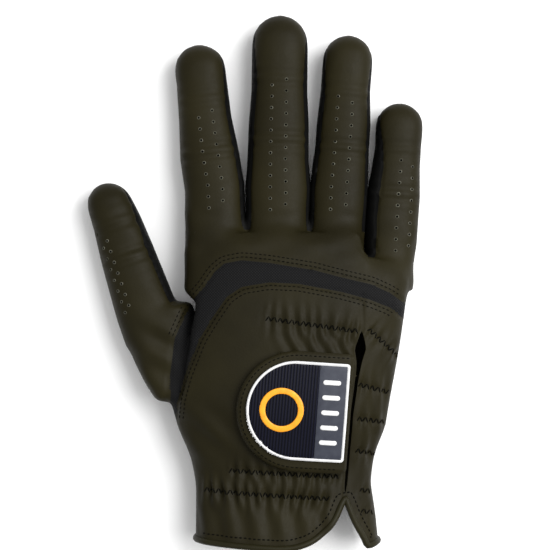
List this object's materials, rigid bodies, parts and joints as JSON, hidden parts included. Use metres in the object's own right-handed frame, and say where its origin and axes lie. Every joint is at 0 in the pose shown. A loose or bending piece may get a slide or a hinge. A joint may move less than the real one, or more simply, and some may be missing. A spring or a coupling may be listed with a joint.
{
  "type": "golf glove",
  "caption": "Right-hand golf glove of soft leather, filled out and lying palm down, with flexing fingers and a closure tab that peels open.",
  "frame": {"origin": "centre of the glove's overall box in plan, on the plane that the palm lies on", "axes": "+X to the little finger, +Y to the fingertips, +Z out of the back of the hand"},
  "size_m": [0.136, 0.2164, 0.0411],
  "materials": {
    "leather": "soft satin sheepskin",
    "palm_leather": "soft satin sheepskin",
    "side_leather": "near-black thin leather",
    "band_fabric": "stretch knit",
    "elastic": "woven elastic",
    "binding": "rolled leather binding",
    "hook_loop": "hook-and-loop tape",
    "badge_border": "moulded white",
    "badge_face": "moulded navy, fine ribs",
    "badge_strip": "moulded dark grey",
    "badge_motif": "moulded orange",
    "label_cloth": "woven cloth"
  },
  "bodies": {
    "hand": {"palm_panel": "palm_leather", "finger_back_panel": "leather", "knuckle_band": "band_fabric", "back_panel": "leather", "index_side_wall": "leather", "wrist_side_wall": "leather", "little_side_panel": "leather", "knuckle_side_wall": "leather", "cuff_binding": "binding", "slit_binding_back": "binding", "slit_binding_side": "binding", "knuckle_elastic": "elastic", "wrist_elastic": "elastic", "side_elastic": "elastic", "size_label": "label_cloth", "thumb_root_back": "leather", "thumb_root_side": "leather", "thumb_root_palm": "palm_leather", "loop_pad": "hook_loop"},
    "tab": {"hook_pad": "hook_loop", "tab_lining": "elastic", "tab_leather": "leather", "badge_base": "badge_border", "badge_face": "badge_face", "badge_strip": "badge_strip", "badge_motif": "badge_motif"},
    "thumb": {"thumb_back": "leather", "thumb_palm_side": "palm_leather", "thumb_thumb_side_wall": "side_leather", "thumb_little_side_wall": "side_leather"},
    "index": {"index_back": "leather", "index_palm_side": "palm_leather", "index_thumb_side_wall": "side_leather", "index_little_side_wall": "side_leather"},
    "middle": {"middle_back": "leather", "middle_palm_side": "palm_leather", "middle_thumb_side_wall": "side_leather", "middle_little_side_wall": "side_leather"},
    "ring": {"ring_back": "leather", "ring_palm_side": "palm_leather", "ring_thumb_side_wall": "side_leather", "ring_little_side_wall": "side_leather"},
    "little": {"little_back": "leather", "little_palm_side": "palm_leather", "little_thumb_side_wall": "side_leather", "little_little_side_wall": "side_leather"}
  },
  "joints": [
    {"name": "thumb_flex", "type": "hinge", "parent": "hand", "child": "thumb", "pos_m": [-0.0449, -0.01271, 0], "axis": [-0.9461, -0.3239, 0], "range_deg": [0, 50]},
    {"name": "index_flex", "type": "hinge", "parent": "hand", "child": "index", "pos_m": [-0.01619, 0.02029, 0], "axis": [-0.9925, -0.1219, 0], "range_deg": [0, 80]},
    {"name": "middle_flex", "type": "hinge", "parent": "hand", "child": "middle", "pos_m": [0.00901, 0.02029, 0], "axis": [-0.9999, 0.0122, 0], "range_deg": [0, 80]},
    {"name": "ring_flex", "type": "hinge", "parent": "hand", "child": "ring", "pos_m": [0.0334, 0.02029, 0], "axis": [-0.9976, 0.0698, 0], "range_deg": [0, 80]},
    {"name": "little_flex", "type": "hinge", "parent": "hand", "child": "little", "pos_m": [0.0559, 0.00789, 0], "axis": [-0.9983, 0.0576, 0], "range_deg": [0, 80]},
    {"name": "tab_hinge", "type": "hinge", "parent": "hand", "child": "tab", "pos_m": [0.0395, -0.07771, 0.0271], "axis": [0, 0.9897, 0.1433], "range_deg": [0, 130]}
  ]
}
